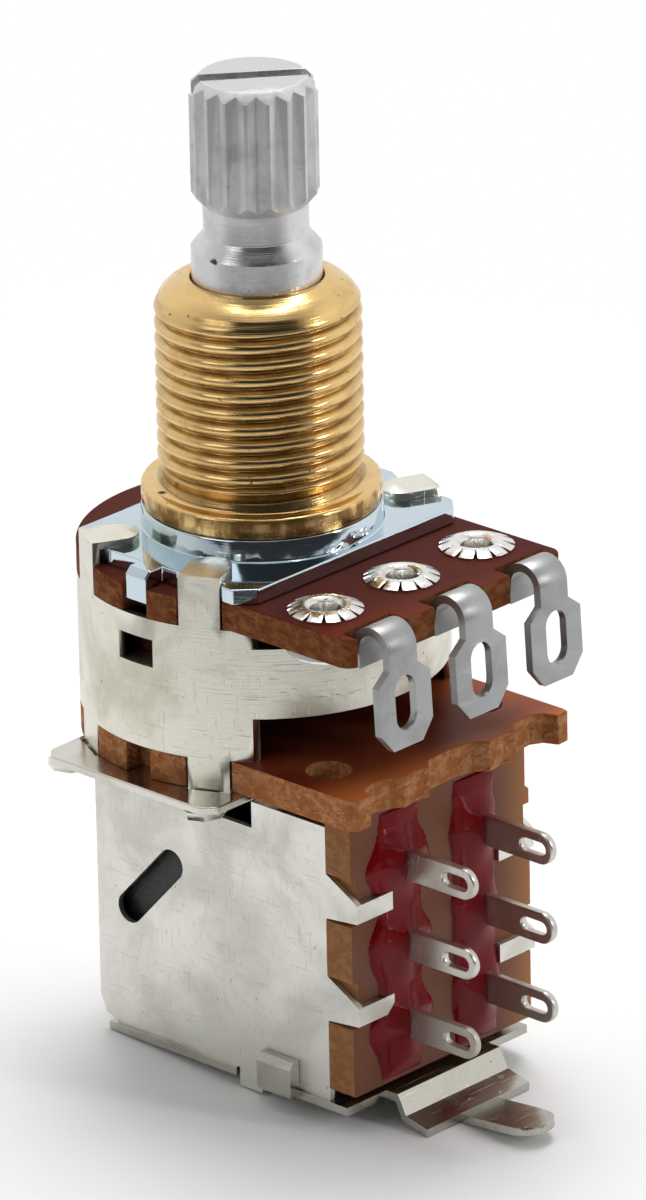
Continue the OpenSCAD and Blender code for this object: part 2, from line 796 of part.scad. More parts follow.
module terminal_board() {
  half = wall_x + 0.05;
  color(phenolic) difference() {
    front_sheet(-tb_y, -case_front) polygon([
      [-half, z_tb_bot], [half, z_tb_bot], [half, z_base_bot - 2.4],
      [half - 0.25, z_base_bot - 2.2], [half - 0.25, z_base_bot], [-half, z_base_bot]
    ]);
    for (m = [-1, 1], row = [0 : 2]) translate([0, 0, lug_z(row)])
      side_sheet(m * lug_x - lug_t / 2, m * lug_x + lug_t / 2)
        translate([-tb_y - 1, -lug_h / 2]) square([tb_t + 2, lug_h]);
    both() for (c = claw_z)
      span([case_in - 0.03, -tb_y - 1, c - claw_half - 0.25], [wall_x + 1, -case_front + 1, c + 1.55]);
  }
}

module lug(side, row) {
  x = side * lug_x;
  z = lug_z(row);
  color(silver) {
    translate([0, 0, z]) side_sheet(x - lug_t / 2, x + lug_t / 2) lug_blade(0);
    span([x - pad_w / 2, -case_front, z - pad_h / 2], [x + pad_w / 2, -case_front + pad_t, z + pad_h / 2]);
  }
}

module lug_top_left() {
  lug(-1, 0);
}

module lug_mid_left() {
  lug(-1, 1);
}

module lug_low_left() {
  lug(-1, 2);
}

module lug_top_right() {
  lug(1, 0);
}

module lug_mid_right() {
  lug(1, 1);
}

module lug_low_right() {
  lug(1, 2);
}

// A bead of sealing resin on the terminal board, domed round the feet of three lugs
module sealant(side, x, half) {
  dome = 0.5;
  r = (half * half + dome * dome) / (2 * dome);
  color(resin) difference() {
    union() {
      intersection() {
        for (row = [0 : 2]) translate([x, -tb_y + r - dome, lug_z(row)]) sphere(r = r, $fn = 128);
        span([x - half - 1, -tb_y - 2, z_tb_bot + 0.2], [x + half + 1, -tb_y, z_base_bot - 0.4]);
      }
      span([x - half + 0.3, -tb_y - 0.2, z_tb_bot + 0.3], [x + half - 0.3, -tb_y, z_base_bot - 0.5]);
    }
    for (row = [0 : 2])
      span([side * lug_x - lug_t / 2, -tb_y - 3, lug_z(row) - lug_h / 2],
        [side * lug_x + lug_t / 2, -tb_y + 1, lug_z(row) + lug_h / 2]);
    both() for (c = claw_z)
      span([claw_in - 0.02, -tb_y - 1, c - claw_half - 0.02], [wall_x + 1, -tb_y + 1, c + claw_half]);
  }
}

module sealant_left() {
  sealant(-1, -lug_x - 0.25, lug_x - 0.35);
}

module sealant_right() {
  sealant(1, lug_x - 0.45, lug_x - 0.9);
}

groove_y = -slider_front + 0.95;
clip_w = 1.8;
clip_sheet = 0.25;

module slider() {
  pocket_y = ball_y - ball_d / 2 - spring_len;
  color(black) difference() {
    span([-slider_x, -slider_front, z_slider_bot], [slider_x, slider_back, z_slider]);
    disc(tail_d / 2 + tail_gap, z_bridge - 1, z_slider + 1);
    disc(pocket_d / 2, z_slider_bot - 1, z_bridge);
    both() span([lug_x - clip_w / 2 - 0.1, -slider_front - 1, z_slider_bot + 0.5],
      [lug_x + clip_w / 2 + 0.1, groove_y, z_slider - 0.9]);
    translate([ball_x, pocket_y, ball_z]) rotate([-90, 0, 0])
      cylinder(r = pocket_r, h = slider_back - pocket_y + 1);
  }
}

// A bridging contact: two bowed spots that press on two of the three pads
module contact_clip(x) {
  back = groove_y - clip_sheet;
  front = -case_front + pad_t + touch_gap;
  z0 = z_slider - 1.1;
  mid = lug_z(1) - 0.25;
  low = mid - lug_pitch + 0.3;
  line = [
    [back, z0], [back, z0 - 0.8], [front, mid + 0.5], [front, mid - 0.5], [back, (mid + low) / 2 + 0.5],
    [back, (mid + low) / 2 - 0.5], [front, low + 0.5], [front, low - 0.5],
    [back, z_slider_bot + 0.8]
  ];
  color(brass) side_sheet(x - clip_w / 2, x + clip_w / 2)
    polygon(concat(line, [for (i = [len(line) - 1 : -1 : 0]) line[i] + [clip_sheet, 0]]));
}

module contact_clip_left() {
  contact_clip(-lug_x);
}

module contact_clip_right() {
  contact_clip(lug_x);
}

module detent_ball() {
  color(steel) translate([ball_x, ball_y, ball_z]) sphere(d = ball_d);
}

module detent_spring() {
  turns = 4;
  coil_r = ball_d / 2 - 0.2;
  wire = 0.2;
  sweep = 150;
  start = ball_y - ball_d / 2 - spring_len;
  length = spring_len + 0.1;
  color(steel) translate([ball_x, start, ball_z]) rotate([-90, 0, 0])
    linear_extrude(length, twist = -360 * turns, slices = 56, $fn = 6) polygon(concat(
      [for (a = [0 : 50 : sweep]) (coil_r + wire / 2) * [cos(a), sin(a)]],
      [for (a = [sweep : -50 : 0]) (coil_r - wire / 2) * [cos(a), sin(a)]]
    ));
}

module bottom_cover() {
  half = wall_x + 0.15;
  z = z_case_bot;
  t = cover_t;
  color(tin) {
    difference() {
      span([-half, -tb_y + 0.4, z - t], [half, case_back - 0.66, z]);
      both() span([case_in - 0.05, -5.0, z - t - 1], [half + 1, -3.4, z + 1]);
    }
    side_sheet(-lip_w / 2, lip_w / 2) polygon([
      [-tb_y + 0.6, z], [-tb_y - 0.3, z], [-tb_y - 0.8, z - lip_drop],
      [-tb_y - 2.1, z - lip_drop - 0.3], [-tb_y - 2.1, z - lip_drop - 0.3 - t],
      [-tb_y - 0.85, z - lip_drop - t], [-tb_y - 0.55, z - lip_drop - t + 0.1],
      [-tb_y - 0.15, z - t], [-tb_y + 0.6, z - t]
    ]);
    translate([0, -tb_y - 2, z - lip_drop - 0.3 - t]) rotate([-tongue_lean, 0, 0])
      linear_extrude(t) {
        translate([-tongue_w / 2, -tongue_len + tongue_w / 2])
          square([tongue_w, tongue_len - tongue_w / 2]);
        translate([0, -tongue_len + tongue_w / 2]) circle(d = tongue_w);
      }
    both() front_hook(half, z, t);
  }
}

// A hook of the cover, bent up outside the case's wall
module front_hook(half, z, t) {
  front_sheet(-7.3, -5.2) polygon([
    [half - 0.3, z - t], [wall_x + t + 0.1, z - t], [wall_x + t + 0.25, z - t + 0.15],
    [wall_x + t + 0.25, z + 1.1], [wall_x + t, z + 1.45], [wall_x + 0.02, z + 1.45],
    [wall_x + 0.02, z], [half - 0.3, z]
  ]);
}

shaft();
shaft_clip();
bushing();
front_plate();
element_board();
resistive_track();
collector_ring();
terminal_left();
terminal_centre();
terminal_right();
eyelet_left();
eyelet_centre();
eyelet_right();
rotor();
wiper();
shell();
base_board();
support_plate();
switch_case();
terminal_board();
lug_top_left();
lug_mid_left();
lug_low_left();
lug_top_right();
lug_mid_right();
lug_low_right();
sealant_left();
sealant_right();
slider();
contact_clip_left();
contact_clip_right();
detent_ball();
detent_spring();
bottom_cover();
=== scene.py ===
import math

import bmesh
import bpy
from bpy.props import FloatProperty, FloatVectorProperty, IntProperty, PointerProperty
from mathutils import Matrix, Vector, noise


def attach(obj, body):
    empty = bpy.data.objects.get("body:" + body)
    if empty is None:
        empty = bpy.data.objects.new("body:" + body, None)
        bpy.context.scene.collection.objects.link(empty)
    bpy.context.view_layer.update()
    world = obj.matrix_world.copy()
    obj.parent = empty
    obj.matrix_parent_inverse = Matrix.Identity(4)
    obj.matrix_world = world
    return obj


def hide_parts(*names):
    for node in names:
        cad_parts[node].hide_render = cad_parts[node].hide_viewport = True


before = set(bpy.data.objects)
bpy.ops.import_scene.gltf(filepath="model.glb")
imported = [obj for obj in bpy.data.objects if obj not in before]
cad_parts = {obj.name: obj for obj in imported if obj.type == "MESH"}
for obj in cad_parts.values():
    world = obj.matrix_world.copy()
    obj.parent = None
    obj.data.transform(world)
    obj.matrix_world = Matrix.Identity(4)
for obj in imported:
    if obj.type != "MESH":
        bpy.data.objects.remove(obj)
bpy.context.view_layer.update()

bl_info = {
    "name": "Potentiometer dressing",
    "version": (1, 0, 0),
    "blender": (4, 5, 0),
    "location": "View3D > Sidebar > Potentiometer",
    "description": "Dresses a packed push-pull potentiometer for its picture",
    "category": "Object",
}

MM = 0.001

# Ranges in millimetres over which a mark comes in, as (none, full)
GROOVE_RADIUS = (4.80, 4.42)
GROOVE_TOP = (9.0, 8.7)
GROOVE_BORE = (3.4, 3.6)
RIM_HEIGHT = (-0.02, -0.2)
RIM_RADIUS = (4.9, 5.3)
KNURL_HEIGHT = (13.0, 13.5)
KNURL_RADIUS = (2.3, 2.6)
# Painted light on the boards' faces: lighter and warmer towards the front edge and towards the right
PAINTED_LIGHT_FRONT = (9.8, 13.0)
PAINTED_LIGHT_RIGHT = (3.6, 7.0)
# Direction in which a board's painted light grows towards its front edge
PAINTED_LIGHT_WAY = (-0.12, -1.0, 0.0)

# Softened edges: distance within which points are joined, steps across an edge, and the least angle
WELD_DISTANCE = 0.002 * MM
EDGE_STEPS = 2
SHARP_ANGLE = math.radians(35)
NORMAL_WEIGHT = 60

# Bushing in millimetres: bore, flange, and the foot and length of the wall above the flange
BORE_R = 3.05
FLANGE_R = 5.555
WALL_FOOT = 0.02
WALL_LENGTH = 9.7
# Flat share at the root and the crest of the thread, and how full its rounded flanks are
CREST_FLAT = 0.06
CREST_FULLNESS = 2.1
# Height at which the thread starts or ends, and the length over which it grows to its full depth
RUN_IN = (0.3, 0.5)
RUN_OUT = (9.1, 0.4)
# Tool marks round the flange: how many in half a turn, their depth, and how uneven the rim is
TOOL_MARKS = 17
TOOL_MARK_DEPTH = 0.025
RIM_UNEVEN = 0.015

# Beads of resin, as (node, middle, half width, place of the lugs, depth of the waist between lugs)
BEADS = {
    "resin_bead_left": ("sealant_left", -2.9, 2.3, -2.65, 0.36),
    "resin_bead_right": ("sealant_right", 2.2, 1.75, 2.65, 0.12),
}
LUG_ROWS = (-15.33, -19.28, -23.23)
BEAD_COLUMNS = 44
BEAD_ROWS = 150
# Reach of a lug's swelling up and down its bead, of the mound round the lug, and of a bead's end
SWELL = 1.25
MOUND = (0.75, 1.2)
BEAD_END = 0.7
# What lies outside a bead's outline is sunk by this share of its height, and its back by this many mm
SUNK = 0.05

# Side of the camera's sensor in millimetres, and the points that the camera and the lights face
SENSOR = 36
AIM = Vector((0, 0, -3 * MM))
LIT_POINT = Vector((0, 0, -4 * MM))
# Half the floor's side and its middle, then distances over it in millimetres, as (none, full)
FLOOR_HALF = 1.5
FLOOR_PLACE = (0, 4.7 * MM, -27.02 * MM)
MIRROR_START = (18.0, 40.0)
DARK_START = (77.0, 82.0)
DARK_END = (89.0, 103.0)
GREY_START = (108.0, 116.0)
LEFT_START = (62.0, 80.0)
WHITE_START = (28.0, 90.0)
WHITE = (1.0, 1.0, 1.0, 1.0)

# Nodes that are bent from sheet or turned, with the width of their softened edges in millimetres
SOFT_EDGES = {
    "shaft": 0.06,
    "front_plate": 0.09,
    "element_board": 0.06,
    "base_board": 0.06,
    "terminal_board": 0.07,
    "terminal_left": 0.07,
    "terminal_centre": 0.07,
    "terminal_right": 0.07,
    "eyelet_left": 0.05,
    "eyelet_centre": 0.05,
    "eyelet_right": 0.05,
    "shell": 0.08,
    "support_plate": 0.08,
    "switch_case": 0.07,
    "bottom_cover": 0.09,
    "lug_top_left": 0.07,
    "lug_mid_left": 0.07,
    "lug_low_left": 0.07,
    "lug_top_right": 0.07,
    "lug_mid_right": 0.07,
    "lug_low_right": 0.07,
    "slider": 0.1,
    "rotor": 0.1,
    "shaft_clip": 0.05,
    "wiper": 0.03,
}


class StageSettings(bpy.types.PropertyGroup):
    """Camera, floor and light"""
    turn: FloatProperty(name="Camera azimuth",
                        description="Direction in which the camera looks, from +Y to +X",
                        default=math.radians(46.6804), subtype="ANGLE", unit="ROTATION")
    drop: FloatProperty(name="Camera elevation", description="Angle at which the camera looks down",
                        default=math.radians(21.9458), subtype="ANGLE", unit="ROTATION")
    roll: FloatProperty(name="Camera roll", description="Turn about the line of sight",
                        default=math.radians(-1.1435), subtype="ANGLE", unit="ROTATION")
    distance: FloatProperty(name="Distance", description="From the camera to the aim point",
                            default=0.4988, subtype="DISTANCE", unit="LENGTH")
    aim_side: FloatProperty(name="Aim sideways", description="Shift of the camera across the picture",
                            default=2.75597 * MM, subtype="DISTANCE", unit="LENGTH")
    aim_up: FloatProperty(name="Aim up", description="Shift of the camera up the picture",
                          default=-2.89763 * MM, subtype="DISTANCE", unit="LENGTH")
    lens: FloatProperty(name="Lens", description="Focal length on a 36 mm high sensor", default=325.9)
    floor_tilt: FloatProperty(name="Floor tilt",
                              description="The part stands on its front lip and its back edge",
                              default=math.radians(4.06), subtype="ANGLE", unit="ROTATION")
    key_power: FloatProperty(name="Key light", description="Power of the large light", default=1.1,
                             subtype="POWER", unit="POWER")
    fill_power: FloatProperty(name="Fill light", description="Power of the side light", default=0.4,
                              subtype="POWER", unit="POWER")
    sky: FloatProperty(name="Surrounding light", description="Strength of the pale room", default=0.85)


class ThreadSettings(bpy.types.PropertyGroup):
    """The bushing with its fine thread"""
    major_d: FloatProperty(name="Thread diameter", description="Over the crests", default=9.52 * MM,
                           subtype="DISTANCE", unit="LENGTH", precision=6)
    pitch: FloatProperty(name="Pitch", description="Distance between crests", default=0.79375 * MM,
                         subtype="DISTANCE", unit="LENGTH", precision=6)
    depth: FloatProperty(name="Depth", description="Depth of the grooves", default=0.38 * MM,
                         subtype="DISTANCE", unit="LENGTH", precision=6)
    start: FloatProperty(name="Start", description="Height at which the thread starts", default=1.05 * MM,
                         subtype="DISTANCE", unit="LENGTH", precision=6)
    phase: FloatProperty(name="Phase", description="Turn of the thread about its axis", default=0.0,
                         subtype="ANGLE", unit="ROTATION")
    columns: IntProperty(name="Columns", description="Points round the bushing", default=192)
    rows: IntProperty(name="Rows", description="Points along one pitch", default=12)


class SealantSettings(bpy.types.PropertyGroup):
    """The beads of red resin"""
    face_y: FloatProperty(name="Board face", description="Face that the resin lies on", default=-10.8 * MM,
                          subtype="DISTANCE", unit="LENGTH", precision=6)
    height: FloatProperty(name="Height", description="Thickness of the resin round a lug",
                          default=0.62 * MM, subtype="DISTANCE", unit="LENGTH", precision=6)
    low: FloatProperty(name="Lower end", description="Bottom of the beads", default=-25.8 * MM,
                       subtype="DISTANCE", unit="LENGTH", precision=6)
    high: FloatProperty(name="Upper end", description="Top of the beads", default=-12.55 * MM,
                        subtype="DISTANCE", unit="LENGTH", precision=6)
    seed: IntProperty(name="Seed", description="Start of the resin's uneven outline", default=5)


class FinishSettings(bpy.types.PropertyGroup):
    """Colours and wear of the surfaces"""
    tin: FloatVectorProperty(name="Tin plate", description="Colour of the shell and the case", size=3,
                             default=(0.785, 0.765, 0.675), min=0.0, max=1.0, subtype="COLOR")
    brass: FloatVectorProperty(name="Brass", description="Colour of the bushing", size=3,
                               default=(0.84, 0.58, 0.25), min=0.0, max=1.0, subtype="COLOR")
    zinc: FloatVectorProperty(name="Zinc", description="Colour of the front plate", size=3,
                              default=(0.62, 0.72, 0.80), min=0.0, max=1.0, subtype="COLOR")
    shaft: FloatVectorProperty(name="Shaft", description="Colour of the shaft", size=3,
                               default=(0.70, 0.70, 0.71), min=0.0, max=1.0, subtype="COLOR")
    resin: FloatVectorProperty(name="Resin", description="Colour of the sealing resin", size=3,
                               default=(0.18, 0.003, 0.006), min=0.0, max=1.0, subtype="COLOR")
    scratch: FloatProperty(name="Scratches", description="Strength of the fine scratches", default=1.0,
                           min=0.0, max=2.0)
    dirt: FloatProperty(name="Specks", description="Strength of the dark specks", default=1.0,
                        min=0.0, max=1.0)


GROUPS = {
    "pot_stage": StageSettings,
    "pot_thread": ThreadSettings,
    "pot_sealant": SealantSettings,
    "pot_finish": FinishSettings,
}


def settings(name):
    """One group of settings of the scene"""
    return getattr(bpy.context.scene, name)


class Tree:
    """Short calls for making and joining nodes"""

    def __init__(self, tree):
        self.tree = tree

    def add(self, kind, **values):
        """A new node with some of its settings"""
        node = self.tree.nodes.new(kind)
        for key, value in values.items():
            setattr(node, key, value)
        return node

    def link(self, out, into):
        """Joins an output to an input"""
        self.tree.links.new(out, into)

    def put(self, socket, value):
        """Sets a socket to a number or colour, or joins it to another socket"""
        if isinstance(value, bpy.types.NodeSocket):
            self.link(value, socket)
        else:
            socket.default_value = value

    def math(self, operation, a, b=None, c=None, clamp=False):
        """One arithmetic step on up to three numbers"""
        node = self.add("ShaderNodeMath", operation=operation, use_clamp=clamp)
        for socket, value in zip(node.inputs, (a, b, c)):
            if value is not None:
                self.put(socket, value)
        return node.outputs[0]

    def mix(self, factor, a, b):
        """Colour a where the factor is 0 and b where it is 1"""
        node = self.add("ShaderNodeMix", data_type="RGBA")
        self.put(node.inputs["Factor"], factor)
        self.put(node.inputs[6], a)
        self.put(node.inputs[7], b)
        return node.outputs[2]

    def noise(self, vector, scale, detail=3.0, rough=0.5, distortion=0.0):
        """Soft noise from 0 to 1"""
        node = self.add("ShaderNodeTexNoise")
        self.link(vector, node.inputs["Vector"])
        self.put(node.inputs["Scale"], scale)
        node.inputs["Detail"].default_value = detail
        node.inputs["Roughness"].default_value = rough
        node.inputs["Distortion"].default_value = distortion
        return node.outputs["Fac"]

    def dot(self, vector, along):
        """How far a vector reaches along a fixed direction"""
        node = self.add("ShaderNodeVectorMath", operation="DOT_PRODUCT")
        self.link(vector, node.inputs[0])
        node.inputs[1].default_value = along
        return node.outputs["Value"]

    def length(self, vector):
        """Length of a vector"""
        node = self.add("ShaderNodeVectorMath", operation="LENGTH")
        self.link(vector, node.inputs[0])
        return node.outputs["Value"]

    def ramp(self, value, low, high):
        """0 at low and 1 at high, smooth between them"""
        node = self.add("ShaderNodeMapRange", interpolation_type="SMOOTHSTEP")
        self.put(node.inputs["Value"], value)
        node.inputs["From Min"].default_value = low
        node.inputs["From Max"].default_value = high
        return node.outputs["Result"]

    def place(self, scale=(1.0, 1.0, 1.0), turn=(0.0, 0.0, 0.0)):
        """Object coordinates in millimetres, stretched by scale"""
        coords = self.add("ShaderNodeTexCoord")
        mapping = self.add("ShaderNodeMapping")
        self.link(coords.outputs["Object"], mapping.inputs["Vector"])
        mapping.inputs["Scale"].default_value = [1000.0 * s for s in scale]
        mapping.inputs["Rotation"].default_value = turn
        return mapping.outputs["Vector"]


def new_group(name, inputs, outputs):
    """An empty node group with its sockets, as (group, tree, input node, output node)"""
    group = bpy.data.node_groups.new(name, "ShaderNodeTree")
    for label, kind, value in inputs:
        socket = group.interface.new_socket(name=label, in_out="INPUT", socket_type=kind)
        socket.default_value = value
    for label, kind in outputs:
        group.interface.new_socket(name=label, in_out="OUTPUT", socket_type=kind)
    tree = Tree(group)
    return group, tree, tree.add("NodeGroupInput"), tree.add("NodeGroupOutput")


# Places of the small dark nicks on the collar's bevel and on the edge of the brass flange
SHAFT_NICK = (-2.95, -0.14, 11.3)
FLANGE_NICK = (-4.5, 2.05, 0.0)
VECTOR = "NodeSocketVector"
FLOAT = "NodeSocketFloat"
COLOR = "NodeSocketColor"
OUTPUTS = [("Color", COLOR), ("Roughness", FLOAT), ("Height", FLOAT)]


def sheet_group():
    """Rolled sheet: cloudy tone, fine crossed scratches and a few dark specks"""
    group, t, gin, gout = new_group("Rolled sheet", [
        ("Base", COLOR, (0.8, 0.8, 0.75, 1.0)),
        ("Stain", COLOR, (0.6, 0.55, 0.45, 1.0)),
        ("Roughness", FLOAT, 0.25),
        ("Spread", FLOAT, 0.15),
        ("Scratches", FLOAT, 1.0),
        ("Specks", FLOAT, 1.0),
    ], OUTPUTS)
    place = t.place()
    cloud = t.ramp(t.noise(place, 0.22, 4.0, 0.6, 0.4), 0.42, 0.68)
    grain = t.noise(t.place((0.35, 0.35, 9.0)), 1.6, 3.0, 0.65)
    cross_a = t.noise(t.place((0.25, 14.0, 0.9), (0.5, 0.3, 0.2)), 1.0, 2.0, 0.5)
    cross_b = t.noise(t.place((1.1, 0.3, 13.0), (0.3, 0.7, 0.1)), 1.0, 2.0, 0.5)
    cross_a = t.ramp(cross_a, 0.66, 0.72)
    cross_b = t.ramp(cross_b, 0.67, 0.73)
    scratches = t.math("MAXIMUM", cross_a, cross_b)
    scratches = t.math("MULTIPLY", scratches, gin.outputs["Scratches"])
    speck = t.ramp(t.noise(place, 3.6, 2.0, 0.5), 0.73, 0.77)
    speck = t.math("MULTIPLY", speck, gin.outputs["Specks"])
    stained = t.mix(t.math("MULTIPLY", cloud, 0.5), gin.outputs["Base"], gin.outputs["Stain"])
    stained = t.mix(t.math("MULTIPLY", scratches, 0.22), stained, (0.95, 0.95, 0.93, 1.0))
    stained = t.mix(t.math("MULTIPLY", speck, 0.8), stained, (0.09, 0.07, 0.05, 1.0))
    t.link(stained, gout.inputs["Color"])
    rough = t.math("MULTIPLY_ADD", cloud, gin.outputs["Spread"], gin.outputs["Roughness"])
    rough = t.math("MULTIPLY_ADD", grain, 0.08, rough)
    rough = t.math("MULTIPLY_ADD", speck, 0.3, rough, clamp=True)
    t.link(rough, gout.inputs["Roughness"])
    height = t.math("MULTIPLY_ADD", scratches, -0.5, t.math("MULTIPLY", grain, 0.35))
    height = t.math("MULTIPLY_ADD", cloud, 0.6, height)
    t.link(height, gout.inputs["Height"])
    return group


def turned_group():
    """Turned metal: rings round the shaft axis, a darker tone towards the thread's roots, stains on the
    flange and dark specks
    """
    group, t, gin, gout = new_group("Turned metal", [
        ("Base", COLOR, (0.8, 0.8, 0.8, 1.0)),
        ("Stain", COLOR, (0.4, 0.3, 0.2, 1.0)),
        ("Dark tone", COLOR, (0.12, 0.06, 0.02, 1.0)),
        ("Roughness", FLOAT, 0.22),
        ("Spread", FLOAT, 0.15),
        ("Rings", FLOAT, 1.0),
        ("Specks", FLOAT, 1.0),
        ("Groove", FLOAT, 0.0),
        ("Rim", FLOAT, 0.0),
        ("Knurl", FLOAT, 0.0),
        ("Nick", FLOAT, 0.0),
        ("Nick at", VECTOR, (0.0, 0.0, 0.0)),
    ], OUTPUTS)
    place = t.place()
    rings = t.noise(t.place((0.12, 0.12, 14.0)), 1.0, 3.0, 0.6)
    cloud = t.ramp(t.noise(place, 0.7, 3.0, 0.6), 0.45, 0.7)
    speck = t.ramp(t.noise(t.place((1.0, 1.0, 1.4)), 2.6, 2.0, 0.5), 0.70, 0.76)
    speck = t.math("MULTIPLY", speck, gin.outputs["Specks"])
    tone = t.mix(t.math("MULTIPLY", cloud, 0.35), gin.outputs["Base"], gin.outputs["Stain"])
    level = t.add("ShaderNodeVectorMath", operation="MULTIPLY")
    t.link(place, level.inputs[0])
    level.inputs[1].default_value = (1.0, 1.0, 0.0)
    radius = t.length(level.outputs["Vector"])
    height_z = t.dot(place, (0.0, 0.0, 1.0))
    # Darker tone towards the roots of the thread, in uneven patches
    groove = t.math("MULTIPLY", t.ramp(radius, *GROOVE_RADIUS), t.ramp(height_z, *GROOVE_TOP))
    groove = t.math("MULTIPLY", groove, t.ramp(radius, *GROOVE_BORE))
    groove_patches = t.math("MULTIPLY_ADD", t.ramp(t.noise(place, 0.5, 3.0, 0.6), 0.35, 0.65), 0.45, 0.5)
    groove = t.math("MULTIPLY", t.math("MULTIPLY", groove, groove_patches), gin.outputs["Groove"])
    tone = t.mix(groove, tone, gin.outputs["Dark tone"])
    rim = t.math("MULTIPLY", t.ramp(height_z, *RIM_HEIGHT), t.ramp(radius, *RIM_RADIUS))
    patches = t.ramp(t.noise(t.place((1.0, 1.0, 0.4)), 1.1, 3.0, 0.6), 0.38, 0.6)
    rim = t.math("MULTIPLY", t.math("MULTIPLY", rim, patches), gin.outputs["Rim"])
    tone = t.mix(rim, tone, gin.outputs["Dark tone"])
    tone = t.mix(t.math("MULTIPLY", speck, 0.75), tone, (0.05, 0.035, 0.02, 1.0))
    spot = t.add("ShaderNodeVectorMath", operation="DISTANCE")
    t.link(place, spot.inputs[0])
    t.link(gin.outputs["Nick at"], spot.inputs[1])
    nick = t.math("MULTIPLY_ADD", t.noise(place, 4.0, 2.0), -0.35, spot.outputs["Value"])
    nick = t.math("MULTIPLY", t.ramp(nick, 0.03, -0.07), gin.outputs["Nick"])
    tone = t.mix(t.math("MULTIPLY", nick, 0.9), tone, (0.02, 0.02, 0.02, 1.0))
    t.link(tone, gout.inputs["Color"])
    rough = t.math("MULTIPLY_ADD", cloud, gin.outputs["Spread"], gin.outputs["Roughness"])
    rough = t.math("MULTIPLY_ADD", t.math("MAXIMUM", groove, rim), 0.15, rough)
    knurled = t.math("MULTIPLY", t.ramp(height_z, *KNURL_HEIGHT), t.ramp(radius, *KNURL_RADIUS))
    rough = t.math("MULTIPLY_ADD", t.math("MULTIPLY", knurled, gin.outputs["Knurl"]), 0.26, rough)
    rough = t.math("MULTIPLY_ADD", t.math("MAXIMUM", speck, nick), 0.35, rough, clamp=True)
    t.link(rough, gout.inputs["Roughness"])
    height = t.math("MULTIPLY", rings, gin.outputs["Rings"])
    height = t.math("MULTIPLY_ADD", cloud, 0.15, height)
    height = t.math("MULTIPLY_ADD", nick, -6.0, height)
    t.link(height, gout.inputs["Height"])
    return group


def board_group():
    """Phenolic board: a coated face with painted light towards its front edge and right side, and cut edges
    that show brown paper layers
    """
    group, t, gin, gout = new_group("Phenolic board", [
        ("Face", COLOR, (0.2, 0.03, 0.02, 1.0)),
        ("Edge", COLOR, (0.3, 0.13, 0.06, 1.0)),
        ("Fibre", COLOR, (0.5, 0.3, 0.15, 1.0)),
        ("Roughness", FLOAT, 0.3),
        ("Edge roughness", FLOAT, 0.7),
        ("Across Z", FLOAT, 1.0),
        ("Painted light", COLOR, (0.5, 0.2, 0.06, 1.0)),
        ("Painted light front", FLOAT, 0.0),
        ("Painted light right", FLOAT, 0.0),
    ], OUTPUTS)
    geometry = t.add("ShaderNodeNewGeometry")
    parts = t.add("ShaderNodeSeparateXYZ")
    t.link(geometry.outputs["Normal"], parts.inputs["Vector"])
    flat_z = t.math("ABSOLUTE", parts.outputs["Z"])
    flat_y = t.math("ABSOLUTE", parts.outputs["Y"])
    facing = t.mix(gin.outputs["Across Z"], flat_y, flat_z)
    edge = t.math("SUBTRACT", 1.0, t.ramp(facing, 0.45, 0.8))
    fray = t.noise(t.place((1.0, 1.0, 1.5)), 1.5, 4.0, 0.58)
    chips = t.ramp(t.noise(t.place((1.2, 1.2, 1.6)), 1.2, 3.0, 0.6), 0.48, 0.62)
    place = t.place()
    cloud = t.ramp(t.noise(place, 0.35, 4.0, 0.6), 0.35, 0.7)
    face = t.mix(t.math("MULTIPLY", cloud, 0.25), gin.outputs["Face"], gin.outputs["Edge"])
    # Painted light: the face is mixed towards the light colour near the board's front edge and on its right
    # side, as if lit through the board
    front = t.ramp(t.dot(place, PAINTED_LIGHT_WAY), *PAINTED_LIGHT_FRONT)
    right = t.ramp(t.dot(place, (1.0, 0.0, 0.0)), *PAINTED_LIGHT_RIGHT)
    painted_light = t.math("MULTIPLY", front, gin.outputs["Painted light front"])
    painted_light = t.math("MULTIPLY_ADD", right, gin.outputs["Painted light right"], painted_light, clamp=True)
    face = t.mix(painted_light, face, gin.outputs["Painted light"])
    cut = t.mix(t.math("MULTIPLY", t.ramp(fray, 0.4, 0.68), 0.6), gin.outputs["Edge"], gin.outputs["Fibre"])
    cut = t.mix(t.math("MULTIPLY", chips, 0.35), cut, gin.outputs["Fibre"])
    t.link(t.mix(edge, face, cut), gout.inputs["Color"])
    smooth = t.math("MULTIPLY_ADD", cloud, 0.12, gin.outputs["Roughness"])
    rough = t.mix(edge, smooth, gin.outputs["Edge roughness"])
    t.link(rough, gout.inputs["Roughness"])
    weave = t.math("MULTIPLY", t.noise(place, 5.0, 2.0, 0.5), 0.12)
    raised = t.math("MULTIPLY_ADD", chips, 1.2, fray)
    t.link(t.mix(edge, weave, raised), gout.inputs["Height"])
    return group


def rgba(color):
    """A colour setting as a socket's colour"""
    return (color[0], color[1], color[2], 1.0)


def grey(level):
    """An even grey as a socket's colour"""
    return (level, level, level, 1.0)


def shade(name, group, inputs, metallic, bump, **extra):
    """A material: one group gives colour, roughness and height, with the bump's depth in millimetres"""
    material = bpy.data.materials.new(name)
    material.use_nodes = True
    t = Tree(material.node_tree)
    shader = material.node_tree.nodes["Principled BSDF"]
    source = t.add("ShaderNodeGroup")
    source.node_tree = group
    for label, value in inputs.items():
        source.inputs[label].default_value = value
    t.link(source.outputs["Color"], shader.inputs["Base Color"])
    t.link(source.outputs["Roughness"], shader.inputs["Roughness"])
    shader.inputs["Metallic"].default_value = metallic
    for label, value in extra.items():
        shader.inputs[label.replace("_", " ")].default_value = value
    node = t.add("ShaderNodeBump")
    node.inputs["Distance"].default_value = bump * MM
    node.inputs["Strength"].default_value = 1.0
    t.link(source.outputs["Height"], node.inputs["Height"])
    t.link(node.outputs["Normal"], shader.inputs["Normal"])
    return material


